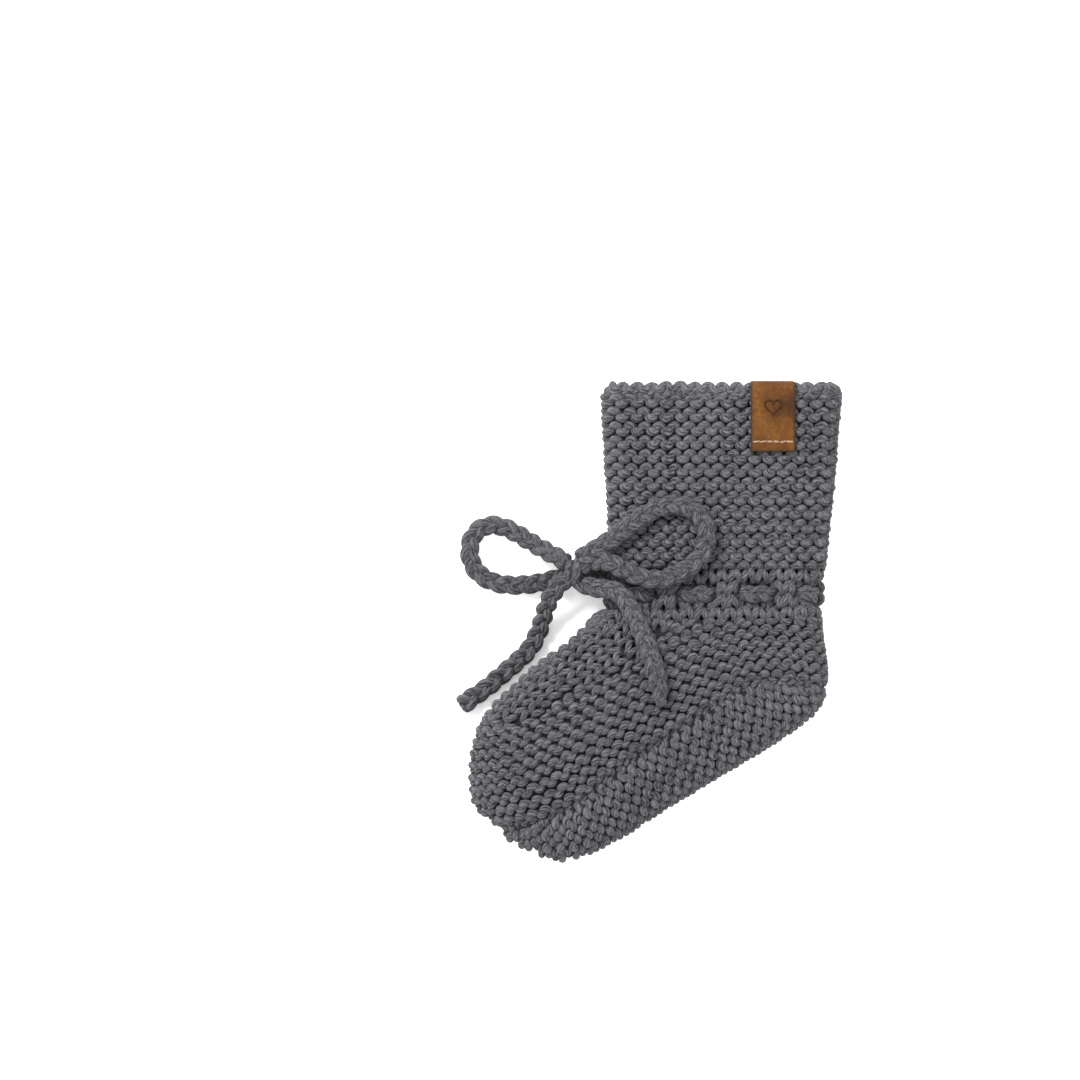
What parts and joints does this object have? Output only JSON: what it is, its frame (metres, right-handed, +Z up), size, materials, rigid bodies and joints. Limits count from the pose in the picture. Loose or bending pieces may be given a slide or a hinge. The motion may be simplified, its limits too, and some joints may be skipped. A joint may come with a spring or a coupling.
{
  "type": "baby bootie",
  "caption": "Knitted baby bootie lying on its side: ribbed garter leg and foot, smooth instep, ankle band threaded with a braided tie cord in a bow, and a folded leather tab.",
  "frame": {"origin": "on the table, under the middle of the bootie's own box with the free tie cord left out", "axes": "+Z up from the table that the bootie lies on, +Y along the leg towards its mouth, and the toe points towards -X and -Y"},
  "size_m": [0.1082, 0.1341, 0.0327],
  "materials": {
    "knit": "dark grey wool, chunky knit",
    "seam_yarn": "the same wool, sewn",
    "cord": "the same wool, braided",
    "leather": "soft matt tan",
    "thread": "pale sewing thread"
  },
  "bodies": {
    "foot": {"instep_flap": "knit", "foot_wall": "knit", "sole": "knit", "sole_seam": "seam_yarn", "back_seam_heel": "seam_yarn", "ankle_band": "knit", "back_seam_ankle": "seam_yarn", "drawcord": "cord", "bow_knot": "cord", "tie_left_loop": "cord", "tie_left_tail": "cord", "tie_right_loop": "cord", "tie_right_tail": "cord"},
    "leg": {"cuff": "knit", "cuff_edge": "knit", "back_seam_cuff": "seam_yarn", "label_tab": "leather", "label_stitching": "thread"}
  },
  "joints": [
    {"name": "ankle_flex", "type": "hinge", "parent": "foot", "child": "leg", "pos_m": [0.016, 0.0082, 0.0085], "axis": [0, 0, 1], "range_deg": [-15, 12], "deforming": ["ankle_band", "back_seam_ankle", "drawcord"]}
  ]
}
